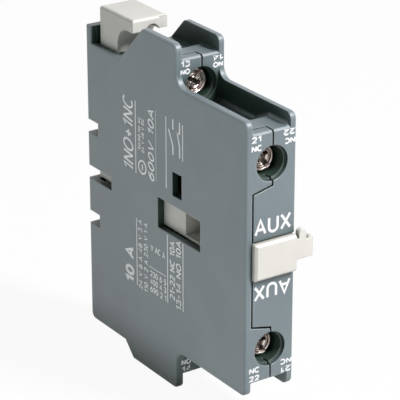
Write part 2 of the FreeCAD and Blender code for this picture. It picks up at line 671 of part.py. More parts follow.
# Springs
def spring(label, wire, radius, turns, height, angle, x, y, z):
    """Round wire wound as an open helix about its own Z axis, then laid along the axis it works on."""
    name = label.title().replace("_", "")
    body = new_body(name)
    section = sketch_on(body, name + "Wire", "XZ_Plane")
    circle(section, radius, wire + " / 2", wire + " / 2")
    coil = body.newObject("PartDesign::AdditiveHelix", name + "Coil")
    coil.Profile = section
    coil.ReferenceAxis = (section, ["V_Axis"])
    coil.Mode = "pitch-height-angle"
    bind(coil, "Height", "(%s) - (%s)" % (height, wire))
    bind(coil, "Pitch", "((%s) - (%s)) / %d" % (height, wire, turns))
    body.Placement = FreeCAD.Placement(FreeCAD.Vector(0, 0, 0),
                                       FreeCAD.Rotation(FreeCAD.Vector(1, 0, 0), angle))
    return finish(body, label, x, y, z)


spring("nc_contact_spring", "smallWire", "contactRadius", 3, "ncSpringGap", -90,
       "-axisX", "ncBridge + bridgeThick", "0")
spring("no_contact_spring", "smallWire", "contactRadius", 4, "noSpringGap", -90,
       "-axisX", "noCageStart", "0")
spring("return_spring", "wire", "returnRadius", 8, "springSeat - tailEnd + returnBoreDepth", -90,
       "-axisX", "tailEnd - returnBoreDepth", "0")
spring("latch_spring", "smallWire", "latchSpringRadius", 7, "latchSpringTop - shoulderHigh", 0,
       "springX", "springY", "shoulderHigh")

doc.recompute()
for obj in doc.Objects:
    if "Invalid" in obj.State or "Error" in obj.State:
        raise ValueError("failed: " + obj.Name)
for obj in parts:
    if obj.Shape.isNull() or not obj.Shape.isValid() or not obj.Shape.Solids:
        raise ValueError("bad shape: " + obj.Label)
    print(obj.Label, len(obj.Shape.Solids), round(obj.Shape.Volume, 2))
for obj in parts:
    obj.Shape.exportStep("parts/%s.step" % obj.Label)
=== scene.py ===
import json
import math

import bmesh
import bpy
import numpy as np
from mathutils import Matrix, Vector


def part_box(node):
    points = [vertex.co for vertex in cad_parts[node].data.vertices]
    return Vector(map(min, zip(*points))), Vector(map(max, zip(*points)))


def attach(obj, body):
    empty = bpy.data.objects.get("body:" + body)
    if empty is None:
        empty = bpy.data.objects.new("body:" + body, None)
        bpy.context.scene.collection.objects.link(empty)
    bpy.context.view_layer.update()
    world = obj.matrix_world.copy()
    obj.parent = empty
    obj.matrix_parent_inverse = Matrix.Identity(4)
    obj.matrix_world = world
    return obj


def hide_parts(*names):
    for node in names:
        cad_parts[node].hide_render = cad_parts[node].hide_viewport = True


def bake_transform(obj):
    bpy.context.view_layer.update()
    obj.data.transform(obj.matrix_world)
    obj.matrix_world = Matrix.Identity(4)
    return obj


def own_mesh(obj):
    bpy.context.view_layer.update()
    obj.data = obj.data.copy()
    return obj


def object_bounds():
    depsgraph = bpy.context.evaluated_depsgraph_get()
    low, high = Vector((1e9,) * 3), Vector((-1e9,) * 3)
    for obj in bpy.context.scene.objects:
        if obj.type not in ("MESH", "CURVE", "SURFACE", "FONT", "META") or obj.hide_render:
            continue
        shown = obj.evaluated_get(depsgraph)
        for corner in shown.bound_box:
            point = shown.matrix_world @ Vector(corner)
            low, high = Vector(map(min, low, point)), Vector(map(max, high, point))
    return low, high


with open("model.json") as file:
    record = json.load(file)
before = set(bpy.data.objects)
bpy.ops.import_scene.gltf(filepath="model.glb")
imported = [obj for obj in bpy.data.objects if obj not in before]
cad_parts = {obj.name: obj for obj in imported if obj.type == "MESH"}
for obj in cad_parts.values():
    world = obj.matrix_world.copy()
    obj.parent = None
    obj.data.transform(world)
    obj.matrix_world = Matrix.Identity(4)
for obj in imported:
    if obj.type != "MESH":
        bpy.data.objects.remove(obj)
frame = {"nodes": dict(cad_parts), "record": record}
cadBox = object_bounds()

mm = 0.001
scene = bpy.context.scene
print("frame loaded:", len(frame["nodes"]), "nodes")


def linear(hexText):
    # sRGB hex to linear: c/12.92 below 0.04045, else ((c + 0.055)/1.055)^2.4.
    shares = np.array([int(hexText[i:i + 2], 16) for i in (1, 3, 5)]) / 255
    low = shares / 12.92
    high = ((shares + 0.055) / 1.055) ** 2.4
    return (*np.where(shares <= 0.04045, low, high).tolist(), 1.0)


def addNode(tree, kind, settings=(), links=()):
    # A key that is an input's name or number sets that input, any other key sets the node.
    node = tree.nodes.new(kind)
    for key, value in dict(settings).items():
        if isinstance(key, int) or key in node.inputs:
            node.inputs[key].default_value = value
        else:
            setattr(node, key, value)
    for key, source in dict(links).items():
        tree.links.new(source, node.inputs[key])
    return node


def newMaterial(name):
    material = bpy.data.materials.new(name)
    material.use_nodes = True
    material.node_tree.nodes.clear()
    return material, material.node_tree


def perMetre(size):
    # Scale of a pattern whose features are size millimetres wide.
    return 1 / (size * mm)


def tiles(here, beside):
    # A four-cornered face between each row of point numbers, the next row, and the columns beside.
    return np.stack([here[:-1], here[1:], beside[1:], beside[:-1]], axis=-1).reshape(-1, 4)


turnedOver = [0, 3, 2, 1]       # order of a face's corners that makes it face the other way


def makePiece(name, points, faces, material, body, smooth=True):
    # Points in millimetres in the part's frame.
    mesh = bpy.data.meshes.new(name)
    mesh.from_pydata((np.asarray(points) * mm).tolist(), [], faces)
    mesh.materials.append(material)
    mesh.polygons.foreach_set("use_smooth", np.full(len(mesh.polygons), smooth))
    mesh.update()
    piece = bpy.data.objects.new(name, mesh)
    scene.collection.objects.link(piece)
    if body:
        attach(piece, body)
    return piece


def mouldedPlastic(name, look):
    # Fine spark-eroded grain, slow shade drift from the melt's flow, pale edges that are partly
    # rubbed wear and partly a painted highlight, and painted shade in hollows.
    material, tree = newMaterial(name)
    place = addNode(tree, "ShaderNodeTexCoord").outputs["Object"]
    drift = addNode(tree, "ShaderNodeTexNoise", {
        "Scale": perMetre(look["driftSize"]), "Detail": 3.0, "Roughness": 0.55,
    }, {"Vector": place})
    mottle = addNode(tree, "ShaderNodeTexNoise", {
        "Scale": perMetre(look["mottleSize"]), "Detail": 4.0, "Roughness": 0.7,
    }, {"Vector": place})
    grain = addNode(tree, "ShaderNodeTexNoise", {
        "Scale": perMetre(look["grainSize"]), "Detail": 2.0, "Roughness": 0.6,
    }, {"Vector": place})
    driftRamp = addNode(tree, "ShaderNodeMapRange", {
        "From Min": 0.3, "From Max": 0.7,
    }, {"Value": drift.outputs["Fac"]})
    body = addNode(tree, "ShaderNodeMix", {
        "data_type": "RGBA", 6: linear(look["shade"]), 7: linear(look["light"]),
    }, {0: driftRamp.outputs["Result"]})
    speck = addNode(tree, "ShaderNodeMapRange", {
        "From Min": 0.62, "From Max": 0.78, "To Max": look["speckShare"],
    }, {"Value": mottle.outputs["Fac"]})
    specked = addNode(tree, "ShaderNodeMix", {
        "data_type": "RGBA", 7: linear(look["speck"]),
    }, {0: speck.outputs["Result"], 6: body.outputs[2]})
    # An edge is where the rounded normal leaves the surface's own. Edges are lightened toward the
    # edge colour: partly rubbed wear, partly a painted highlight.
    rounded = addNode(tree, "ShaderNodeBevel", {"samples": 6, "Radius": look["edgeSize"] * mm})
    flat = addNode(tree, "ShaderNodeNewGeometry")
    agree = addNode(tree, "ShaderNodeVectorMath", {"operation": "DOT_PRODUCT"}, {
        0: rounded.outputs["Normal"], 1: flat.outputs["True Normal"],
    })
    edge = addNode(tree, "ShaderNodeMapRange", {
        "From Min": 0.99, "From Max": 0.85, "To Max": look["edgeShare"],
    }, {"Value": agree.outputs["Value"]})
    edgeByDrift = addNode(tree, "ShaderNodeMath", {"operation": "MULTIPLY"}, {
        0: edge.outputs["Result"], 1: driftRamp.outputs["Result"],
    })
    edgeWearAndHighlight = addNode(tree, "ShaderNodeMath", {"operation": "MULTIPLY_ADD", 1: 0.5}, {
        0: edge.outputs["Result"], 2: edgeByDrift.outputs["Value"],
    })
    rubbedAndHighlit = addNode(tree, "ShaderNodeMix", {
        "data_type": "RGBA", 7: linear(look["edge"]),
    }, {0: edgeWearAndHighlight.outputs["Value"], 6: specked.outputs[2]})
    # Painted shade: corners and hollows are darkened toward the hollow colour by ambient occlusion,
    # and the coat and shine drop with it. It is thin on faces that point up, unless a ceiling hangs
    # close over them.
    openness = addNode(tree, "ShaderNodeAmbientOcclusion", {
        "samples": 8, "Distance": look["hollowSize"] * mm,
    })
    depth = addNode(tree, "ShaderNodeMapRange", {
        "From Min": look["hollowFrom"], "From Max": look["hollowFrom"] - look["hollowSpan"],
        "To Max": look["hollowShare"],
    }, {"Value": openness.outputs["AO"]})
    facing = addNode(tree, "ShaderNodeSeparateXYZ", (), {"Vector": flat.outputs["True Normal"]})
    shadeByFacing = addNode(tree, "ShaderNodeMapRange", {
        "From Min": 0.2, "From Max": 0.9, "To Min": 1.0, "To Max": 0.1,
    }, {"Value": facing.outputs["Z"]})
    ceilingOpenness = addNode(tree, "ShaderNodeAmbientOcclusion", {
        "samples": 6, "Distance": look["ceilingDistance"] * mm,
    })
    underCeiling = addNode(tree, "ShaderNodeMapRange", {
        "From Min": 0.8, "From Max": 0.5,
    }, {"Value": ceilingOpenness.outputs["AO"]})
    shadeKept = addNode(tree, "ShaderNodeMath", {"operation": "MAXIMUM"}, {
        0: shadeByFacing.outputs["Result"], 1: underCeiling.outputs["Result"],
    })
    paintedShade = addNode(tree, "ShaderNodeMath", {"operation": "MULTIPLY"}, {
        0: depth.outputs["Result"], 1: shadeKept.outputs["Value"],
    })
    skin = addNode(tree, "ShaderNodeMapRange", {
        "To Min": look["skin"], "To Max": 0.1 * look["skin"],
    }, {"Value": paintedShade.outputs["Value"]})
    shine = addNode(tree, "ShaderNodeMapRange", {
        "To Min": look["specular"], "To Max": 0.2 * look["specular"],
    }, {"Value": paintedShade.outputs["Value"]})
    colour = addNode(tree, "ShaderNodeMix", {
        "data_type": "RGBA", 7: linear(look["hollowShade"]),
    }, {0: paintedShade.outputs["Value"], 6: rubbedAndHighlit.outputs[2]})
    gloss = addNode(tree, "ShaderNodeMapRange", {
        "To Min": look["roughness"] - 0.07, "To Max": look["roughness"] + 0.07,
    }, {"Value": mottle.outputs["Fac"]})
    bump = addNode(tree, "ShaderNodeBump", {
        "Strength": look["bumpShare"], "Distance": look["grainDepth"] * mm,
    }, {"Height": grain.outputs["Fac"], "Normal": rounded.outputs["Normal"]})
    shader = addNode(tree, "ShaderNodeBsdfPrincipled", {
        "IOR": look["ior"], "Coat Roughness": look["skinRough"],
        "Coat Weight": look["skin"], "Specular IOR Level": look["specular"],
    }, {
        "Base Color": colour.outputs[2], "Roughness": gloss.outputs["Result"],
        "Normal": bump.outputs["Normal"], "Coat Normal": bump.outputs["Normal"],
        "Coat Weight": skin.outputs["Result"], "Specular IOR Level": shine.outputs["Result"],
    })
    addNode(tree, "ShaderNodeOutputMaterial", (), {"Surface": shader.outputs["BSDF"]})
    return material


def metalFinish(name, look):
    # Polished or drawn metal: a cloudy tone, fine tool marks along one axis, roughness that varies,
    # and painted shade that darkens grooves and recesses.
    material, tree = newMaterial(name)
    place = addNode(tree, "ShaderNodeTexCoord").outputs["Object"]
    stretched = addNode(tree, "ShaderNodeMapping", {"Scale": look["stretch"]}, {"Vector": place})
    marks = addNode(tree, "ShaderNodeTexNoise", {
        "Scale": perMetre(look["markSize"]), "Detail": 3.0, "Roughness": 0.65,
    }, {"Vector": stretched.outputs["Vector"]})
    cloud = addNode(tree, "ShaderNodeTexNoise", {
        "Scale": perMetre(look["cloudSize"]), "Detail": 2.0,
    }, {"Vector": place})
    tone = addNode(tree, "ShaderNodeMapRange", {
        "From Min": 0.35, "From Max": 0.65,
    }, {"Value": cloud.outputs["Fac"]})
    clean = addNode(tree, "ShaderNodeMix", {
        "data_type": "RGBA", 6: linear(look["shade"]), 7: linear(look["light"]),
    }, {0: tone.outputs["Result"]})
    # Painted shade: grooves and recesses are darkened toward the recess colour by ambient
    # occlusion.
    openness = addNode(tree, "ShaderNodeAmbientOcclusion", {
        "samples": 8, "Distance": look["recessShadeSize"] * mm,
    })
    recessShadeMask = addNode(tree, "ShaderNodeMapRange", {
        "From Min": 0.92, "From Max": 0.45, "To Max": look["recessShadeShare"],
    }, {"Value": openness.outputs["AO"]})
    colour = addNode(tree, "ShaderNodeMix", {
        "data_type": "RGBA", 7: linear(look["recessShade"]),
    }, {0: recessShadeMask.outputs["Result"], 6: clean.outputs[2]})
    gloss = addNode(tree, "ShaderNodeMapRange", {
        "To Min": look["roughness"] - 0.08, "To Max": look["roughness"] + 0.1,
    }, {"Value": marks.outputs["Fac"]})
    bump = addNode(tree, "ShaderNodeBump", {
        "Strength": 0.35, "Distance": look["markDepth"] * mm,
    }, {"Height": marks.outputs["Fac"]})
    shader = addNode(tree, "ShaderNodeBsdfPrincipled", {"Metallic": 1.0}, {
        "Base Color": colour.outputs[2], "Roughness": gloss.outputs["Result"],
        "Normal": bump.outputs["Normal"],
    })
    addNode(tree, "ShaderNodeOutputMaterial", (), {"Surface": shader.outputs["BSDF"]})
    return material


# In the plastics below, the edge colour is partly rubbed wear and partly a painted highlight, and
# the hollow colour is painted shade.
# Glass-filled polyamide, moulded in a spark-eroded tool: matt, with a resin-rich skin that has a
# cool sheen where it faces open space.
greyPolyamide = mouldedPlastic("greyPolyamide", {
    "shade": "#66747A", "light": "#6F7E83", "speck": "#586469", "speckShare": 0.35,
    "edge": "#C2CBCE", "edgeSize": 0.45, "edgeShare": 0.46, "skin": 0.48, "skinRough": 0.4,
    "hollowShade": "#1F3527", "hollowSize": 12.0, "hollowShare": 0.9,
    "hollowFrom": 0.96, "hollowSpan": 0.45, "ceilingDistance": 7.0,
    "driftSize": 14.0, "mottleSize": 0.9,
    "grainSize": 0.28,          # the real grain is about 0.05 mm and wouldn't show
    "grainDepth": 0.03, "bumpShare": 0.5, "roughness": 0.46, "ior": 1.53, "specular": 0.8,
})

# Thermoplastic polyester, moulded in a smooth tool: warm off-white with a satin shine.
beigePolyester = mouldedPlastic("beigePolyester", {
    "shade": "#D4D3CB", "light": "#DEDDD6", "speck": "#C9C6BB", "speckShare": 0.3,
    "edge": "#F4F3EC", "edgeSize": 0.25, "edgeShare": 0.4, "skin": 0.2, "skinRough": 0.3,
    "hollowShade": "#5A584D", "hollowSize": 4.0, "hollowShare": 0.6,
    "hollowFrom": 0.8, "hollowSpan": 0.45, "ceilingDistance": 3.0,
    "driftSize": 9.0, "mottleSize": 1.2, "grainSize": 0.3,
    "grainDepth": 0.012, "bumpShare": 0.35, "roughness": 0.4, "ior": 1.55, "specular": 0.5,
})

# In the metals below, the recess colour is painted shade in grooves and recesses.
# Steel, turned and nickel plated: a warm pinkish grey mirror broken by tool marks.
nickelSteel = metalFinish("nickelPlatedSteel", {
    "shade": "#CDB9B1", "light": "#F6ECE6", "stretch": (1.0, 1.0, 1.0), "markSize": 0.25,
    "cloudSize": 1.6, "markDepth": 0.008, "roughness": 0.24,
    "recessShade": "#2E211C", "recessShadeSize": 1.5, "recessShadeShare": 0.92,
})

# Brass strip, rolled and stamped: yellow, a little dulled, with marks along the strip.
stampedBrass = metalFinish("stampedBrass", {
    "shade": "#A98748", "light": "#D0AE68", "stretch": (1.0, 0.12, 1.0), "markSize": 0.3,
    "cloudSize": 3.0, "markDepth": 0.01, "roughness": 0.34,
    "recessShade": "#5E4A24", "recessShadeSize": 0.8, "recessShadeShare": 0.5,
})

# Silver contact alloy, headed from wire: white and soft, with a grey bloom.
contactSilver = metalFinish("contactSilver", {
    "shade": "#C6C5C0", "light": "#EDECE8", "stretch": (1.0, 1.0, 1.0), "markSize": 0.3,
    "cloudSize": 1.2, "markDepth": 0.008, "roughness": 0.3,
    "recessShade": "#74726C", "recessShadeSize": 0.5, "recessShadeShare": 0.5,
})

# Spring steel, drawn wire: grey with a bright line along the wire.
springWire = metalFinish("drawnSpringWire", {
    "shade": "#85868A", "light": "#B4B5BA", "stretch": (1.0, 1.0, 1.0), "markSize": 0.2,
    "cloudSize": 1.5, "markDepth": 0.006, "roughness": 0.28,
    "recessShade": "#3C3D40", "recessShadeSize": 0.5, "recessShadeShare": 0.5,
})


def printInk(name, look):
    # Pad-printed ink: white with a hard glossy skin, thin and grey where the grain shows through.
    material, tree = newMaterial(name)
    place = addNode(tree, "ShaderNodeTexCoord").outputs["Object"]
    wear = addNode(tree, "ShaderNodeTexNoise", {
        "Scale": perMetre(look["wearSize"]), "Detail": 3.0, "Roughness": 0.7,
    }, {"Vector": place})
    thin = addNode(tree, "ShaderNodeMapRange", {
        "From Min": 0.56, "From Max": 0.75, "To Max": look["wearShare"],
    }, {"Value": wear.outputs["Fac"]})
    colour = addNode(tree, "ShaderNodeMix", {
        "data_type": "RGBA", 6: linear(look["ink"]), 7: linear(look["through"]),
    }, {0: thin.outputs["Result"]})
    gloss = addNode(tree, "ShaderNodeMapRange", {
        "To Min": look["smooth"], "To Max": look["rough"],
    }, {"Value": wear.outputs["Fac"]})
    bump = addNode(tree, "ShaderNodeBump", {"Strength": 0.3, "Distance": look["inkDepth"] * mm}, {
        "Height": wear.outputs["Fac"],
    })
    shader = addNode(tree, "ShaderNodeBsdfPrincipled", {
        "IOR": look["ior"], "Specular IOR Level": look["specular"],
        "Coat Weight": look["skin"], "Coat Roughness": look["skinRough"],
        "Coat IOR": look["skinIor"],
    }, {
        "Base Color": colour.outputs[2], "Roughness": gloss.outputs["Result"],
        "Normal": bump.outputs["Normal"],
    })
    addNode(tree, "ShaderNodeOutputMaterial", (), {"Surface": shader.outputs["BSDF"]})
    return material


whiteInk = printInk("padPrintedInk", {
    "ink": "#F3F5F7", "through": "#B4BABE", "wearSize": 0.35, "wearShare": 0.5,
    "smooth": 0.28, "rough": 0.48, "inkDepth": 0.01, "ior": 1.55, "specular": 0.9,
    "skin": 1.0, "skinRough": 0.3, "skinIor": 1.8,
})

slotMaterials = {
    "grey_plastic": greyPolyamide, "beige_plastic": beigePolyester,
    "nickel_steel": nickelSteel, "brass": stampedBrass,
    "silver": contactSilver, "spring_steel": springWire,
}
for part in frame["record"]["subparts"]:
    for holder in frame["nodes"][part["node"]].material_slots:
        holder.material = slotMaterials[part["material_slot"]]
print("materials set on the CAD nodes")


# M3.5 pan head. "...Ramp" is how wide each cut's steep side is. The thread's ridge is a triangle
# clipped flat: "ridgeTall" high before clipping, and falling by "ridgeSlope" a pitch.
screwForm = {
    "headRadius": 3.1, "headHigh": 2.58, "edgeRound": 0.45, "edgeSteps": 7,
    "slotWide": 1.0, "slotDeep": 1.1, "slotRamp": 0.05,
    "crossLong": 3.7, "crossWide": 1.0, "crossDeep": 1.35, "crossRamp": 0.08,
    "dish": 0.3, "dishRadius": 2.45, "dishRamp": 0.35, "ringPitch": 0.8, "ringDeep": 0.2,
    "shankLong": 7.8, "shankRoot": 0.1, "threadOuter": 1.7, "threadCore": 1.35, "threadPitch": 0.6,
    "ridgeTall": 1.6, "ridgeSlope": 3.6, "threadStart": 0.6, "threadEnd": 0.9,
    "chordSteps": 96, "acrossSteps": 110, "turnSteps": 48, "threadSteps": 7,
    "chordGap": 0.6, "leastCut": 0.02,      # chords nearer than this share of a ramp are left out
}


def headPoints(form):
    # Chords x = R sin(a) cross the head, and each runs z = b sqrt(R^2 - x^2), b from -1 to 1.
    # Height = dish + rings - slot - cross, where each cut is a steep ramp between two depths.
    radius = form["headRadius"] - form["edgeRound"]
    halfSlot, ramp = form["slotWide"] / 2, form["slotRamp"]
    angles = np.linspace(-math.pi / 2, math.pi / 2, form["chordSteps"])
    chords = radius * np.sin(angles)
    edges = [-halfSlot - ramp, -halfSlot, halfSlot, halfSlot + ramp]
    clear = np.min(np.abs(chords[:, None] - edges), axis=1) > ramp * form["chordGap"]
    chords = np.sort(np.concatenate([chords[clear], edges]))
    x, b = np.meshgrid(chords, np.linspace(-1, 1, form["acrossSteps"]), indexing="ij")
    z = b * np.sqrt(np.maximum(radius ** 2 - x ** 2, 0))
    out = np.hypot(x, z)
    dish = form["dish"] * np.clip((form["dishRadius"] - out) / form["dishRamp"], 0, 1)
    wave = 0.5 - 0.5 * np.cos(2 * math.pi * out / form["ringPitch"])
    low = -dish - form["ringDeep"] * wave * (out < form["dishRadius"])
    slot = np.clip((halfSlot + ramp - np.abs(x)) / ramp, 0, 1)
    reach = np.clip((form["crossLong"] / 2 - np.abs(x)) / form["crossRamp"], 0, 1)
    cross = np.clip((form["crossWide"] / 2 - np.abs(z)) / ramp, 0, 1) * reach
    depth = np.maximum(form["slotDeep"] * slot, form["crossDeep"] * cross)
    return x, z, np.where(depth > form["leastCut"], np.minimum(low, -depth), low)


def screwPoints(form):
    # The head is that height field, then rings down its round edge and side, then its seat.
    # Depth runs along +Y from the head's top, and the axis is x = z = 0.
    x, z, level = headPoints(form)
    top = np.stack([x, -level, z], axis=-1).reshape(-1, 3)
    number = np.arange(x.size).reshape(x.shape)
    topFaces = tiles(number[:, :-1], number[:, 1:])
    rim = np.concatenate([number[:, -1], number[::-1, 0][1:-1]])    # once round the edge
    radius = form["headRadius"] - form["edgeRound"]
    quarter = np.linspace(0, math.pi / 2, form["edgeSteps"])[1:]
    ringOut = np.concatenate([radius + form["edgeRound"] * np.sin(quarter), [form["headRadius"]]])
    ringDown = np.concatenate([form["edgeRound"] * (1 - np.cos(quarter)), [form["headHigh"]]])
    rings = top[rim][:, [0, 2]][None] * (ringOut / radius)[:, None, None]
    down = np.broadcast_to(ringDown[:, None], rings.shape[:2])
    side = np.stack([rings[..., 0], down, rings[..., 1]], axis=-1)
    return top, topFaces, rim, side


def shankPoints(form):
    # Thread: radius = core + (outer - core) times a ridge that climbs one pitch a turn.
    long, pitch = form["shankLong"], form["threadPitch"]
    rounds = np.linspace(0, 2 * math.pi, form["turnSteps"], endpoint=False)
    along = np.linspace(0, long, int(long / pitch * form["threadSteps"]))
    angle, way = np.meshgrid(rounds, along)
    phase = (way / pitch - angle / (2 * math.pi)) % 1
    ridge = np.clip(form["ridgeTall"] - np.abs(phase - 0.5) * form["ridgeSlope"], 0, 1)
    fade = np.clip((long - way) / form["threadEnd"], 0, 1)
    fade = fade * np.clip(way / form["threadStart"], 0, 1)
    out = form["threadCore"] + (form["threadOuter"] - form["threadCore"]) * ridge * fade
    down = form["headHigh"] - form["shankRoot"] + way * (long + form["shankRoot"]) / long
    return np.stack([out * np.cos(angle), down, out * np.sin(angle)], axis=-1)


def buildScrew(name, node, body, axisX, faceY, axisZ, turn, form):
    # Joins head, seat and shank in one mesh, turned about its axis and set at its place.
    top, topFaces, rim, side = screwPoints(form)
    count = len(rim)
    sidePoints = side.reshape(-1, 3)
    base = len(top)
    ids = np.concatenate([rim[None], base + np.arange(len(sidePoints)).reshape(-1, count)])
    nextIds = np.roll(ids, -1, axis=1)
    sideFaces = tiles(ids, nextIds)
    seat = base + len(sidePoints)
    seatFaces = np.stack([ids[-1], np.full(count, seat), nextIds[-1]], axis=-1)
    headAll = np.concatenate([top, sidePoints, [[0, form["headHigh"], 0]]])
    shank = shankPoints(form)
    first = len(headAll)
    grid = first + np.arange(shank.shape[0] * shank.shape[1]).reshape(shank.shape[:2])
    nextGrid = np.roll(grid, -1, axis=1)
    shankFaces = tiles(grid, nextGrid)[:, turnedOver]
    tip = first + grid.size
    ends = [[0, form["headHigh"] + form["shankLong"], 0],
            [0, form["headHigh"] - form["shankRoot"], 0]]
    tipFaces = np.stack([grid[-1], nextGrid[-1], np.full(grid.shape[1], tip)], axis=-1)
    rootFaces = np.stack([nextGrid[0], grid[0], np.full(grid.shape[1], tip + 1)], axis=-1)
    points = np.concatenate([headAll, shank.reshape(-1, 3), ends])
    blocks = (topFaces, sideFaces, seatFaces, shankFaces, tipFaces, rootFaces)
    faces = [row.tolist() for block in blocks for row in block]
    cosine, sine = math.cos(turn), math.sin(turn)
    x, y, z = points.T
    turned = [axisX + x * cosine - z * sine, faceY + y, axisZ + x * sine + z * cosine]
    piece = makePiece(name, np.stack(turned, axis=-1), faces, nickelSteel, body)
    closeUp(piece)
    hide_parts(node)


def closeUp(piece):
    # Joins doubled points, such as the ends of the chords, and turns all faces outward.
    work = bmesh.new()
    work.from_mesh(piece.data)
    bmesh.ops.remove_doubles(work, verts=work.verts, dist=1e-7)
    bmesh.ops.dissolve_degenerate(work, dist=1e-8, edges=work.edges)
    bmesh.ops.recalc_face_normals(work, faces=work.faces)
    work.to_mesh(piece.data)
    work.free()
    piece.data.update()


screwTurns = {"21": 0.62, "22": 0.35, "13": -0.5, "14": 0.9}    # how each happens to stand
for number, turn in screwTurns.items():
    low, high = (np.array(corner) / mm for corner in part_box("terminal_screw_" + number))
    buildScrew("screw_head_" + number, "terminal_screw_" + number, "screw_" + number,
               (low[0] + high[0]) / 2, low[1], (low[2] + high[2]) / 2, turn, screwForm)
print("screws built")


# Ground wire springs with closed ends. "near" is the body at the low end of the axis, "far" the one
# at the high end, and "closing" the millimetres that the carrier's travel takes from the spring.
springForms = {
    "return_spring": {"wire": 0.4, "turns": 9, "axis": 1, "near": "carrier", "far": "housing"},
    "latch_spring": {"wire": 0.3, "turns": 8, "axis": 2, "near": "latch", "far": "housing"},
    "nc_contact_spring": {"wire": 0.3, "turns": 4, "axis": 1, "near": "carrier"},
    "no_contact_spring": {"wire": 0.3, "turns": 5, "axis": 1, "near": "carrier", "closing": 1.0},
}
coilForm = {"stepsATurn": 40, "roundWire": 10, "endGap": 0.02}


def coilPoints(radius, long, wire, turns):
    # Centre line: (r cos a, r sin a, h). h climbs one wire in the first turn and in the last, and
    # evenly between. Round it, each ring point is wire/2 (cos b outward + sin b along the axis).
    angle = np.linspace(0, 2 * math.pi * turns, turns * coilForm["stepsATurn"] + 1)
    section = np.linspace(0, 2 * math.pi, coilForm["roundWire"], endpoint=False)
    climb = np.interp(angle / (2 * math.pi), [0, 1, turns - 1, turns],
                      [0, wire, long - 2 * wire, long - wire])
    a, b = np.meshgrid(angle, section, indexing="ij")
    out = radius + wire / 2 * np.cos(b)
    high = (climb + wire / 2)[:, None] + wire / 2 * np.sin(b)
    grid = np.arange(a.size).reshape(a.shape)
    turned = np.roll(grid, -1, axis=1)
    faces = tiles(grid, turned)[:, turnedOver].tolist()
    faces += [grid[0].tolist(), grid[-1][::-1].tolist()]
    return out * np.cos(a), out * np.sin(a), high, faces


for node, form in springForms.items():
    low, high = (np.array(corner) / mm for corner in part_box(node))
    middle, axis, gap = (low + high) / 2, form["axis"], coilForm["endGap"]
    long = high[axis] - low[axis] - 2 * gap
    side, other = [way for way in range(3) if way != axis]
    radius = (high[side] - low[side] - form["wire"]) / 2
    across, upright, along, faces = coilPoints(radius, long, form["wire"], form["turns"])
    points = np.empty((across.size, 3))
    points[:, side] = middle[side] + across.ravel()
    points[:, other] = middle[other] + upright.ravel()
    points[:, axis] = low[axis] + gap + along.ravel()
    body = None if "far" in form else form["near"]
    spring = makePiece("coil_" + node, points, faces, springWire, body)
    closeUp(spring)
    start, end = middle.copy(), middle.copy()
    start[axis], end[axis] = low[axis], high[axis]
    if "far" in form:
        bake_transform(spring)
    if "closing" in form:
        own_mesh(spring)
    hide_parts(node)
print("springs wound")


# "mitre" keeps a sharp corner's tip from running far out.
inkForm = {"above": 0.02, "below": 0.012, "step": 0.002, "letterGap": 0.26, "mitre": 0.6}

# Each way of reading gives the direction of the line, of the letters' tops, and out of the face.
readings = {
    "climbing": ((0, 0, 1), (0, 1, 0)),         # side face, line runs up
    "across": ((0, -1, 0), (0, 0, 1)),          # side face, line runs to the front
    "upright": ((1, 0, 0), (0, 0, 1)),          # front faces
    "inverted": ((-1, 0, 0), (0, 0, -1)),
}


def arc(centreX, centreY, reachX, reachY, start, stop, steps=10):
    # x = centre + reach cos a, y = centre + reach sin a, a from start to stop in degrees.
    turn = np.radians(np.linspace(start, stop, steps))
    x, y = centreX + reachX * np.cos(turn), centreY + reachY * np.sin(turn)
    return np.stack([x, y], axis=-1).tolist()


def oval(centreX, centreY, reachX, reachY, steps=20):
    # The same, once round, without the doubled last point.
    return arc(centreX, centreY, reachX, reachY, 0, 360, steps + 1)[:-1]


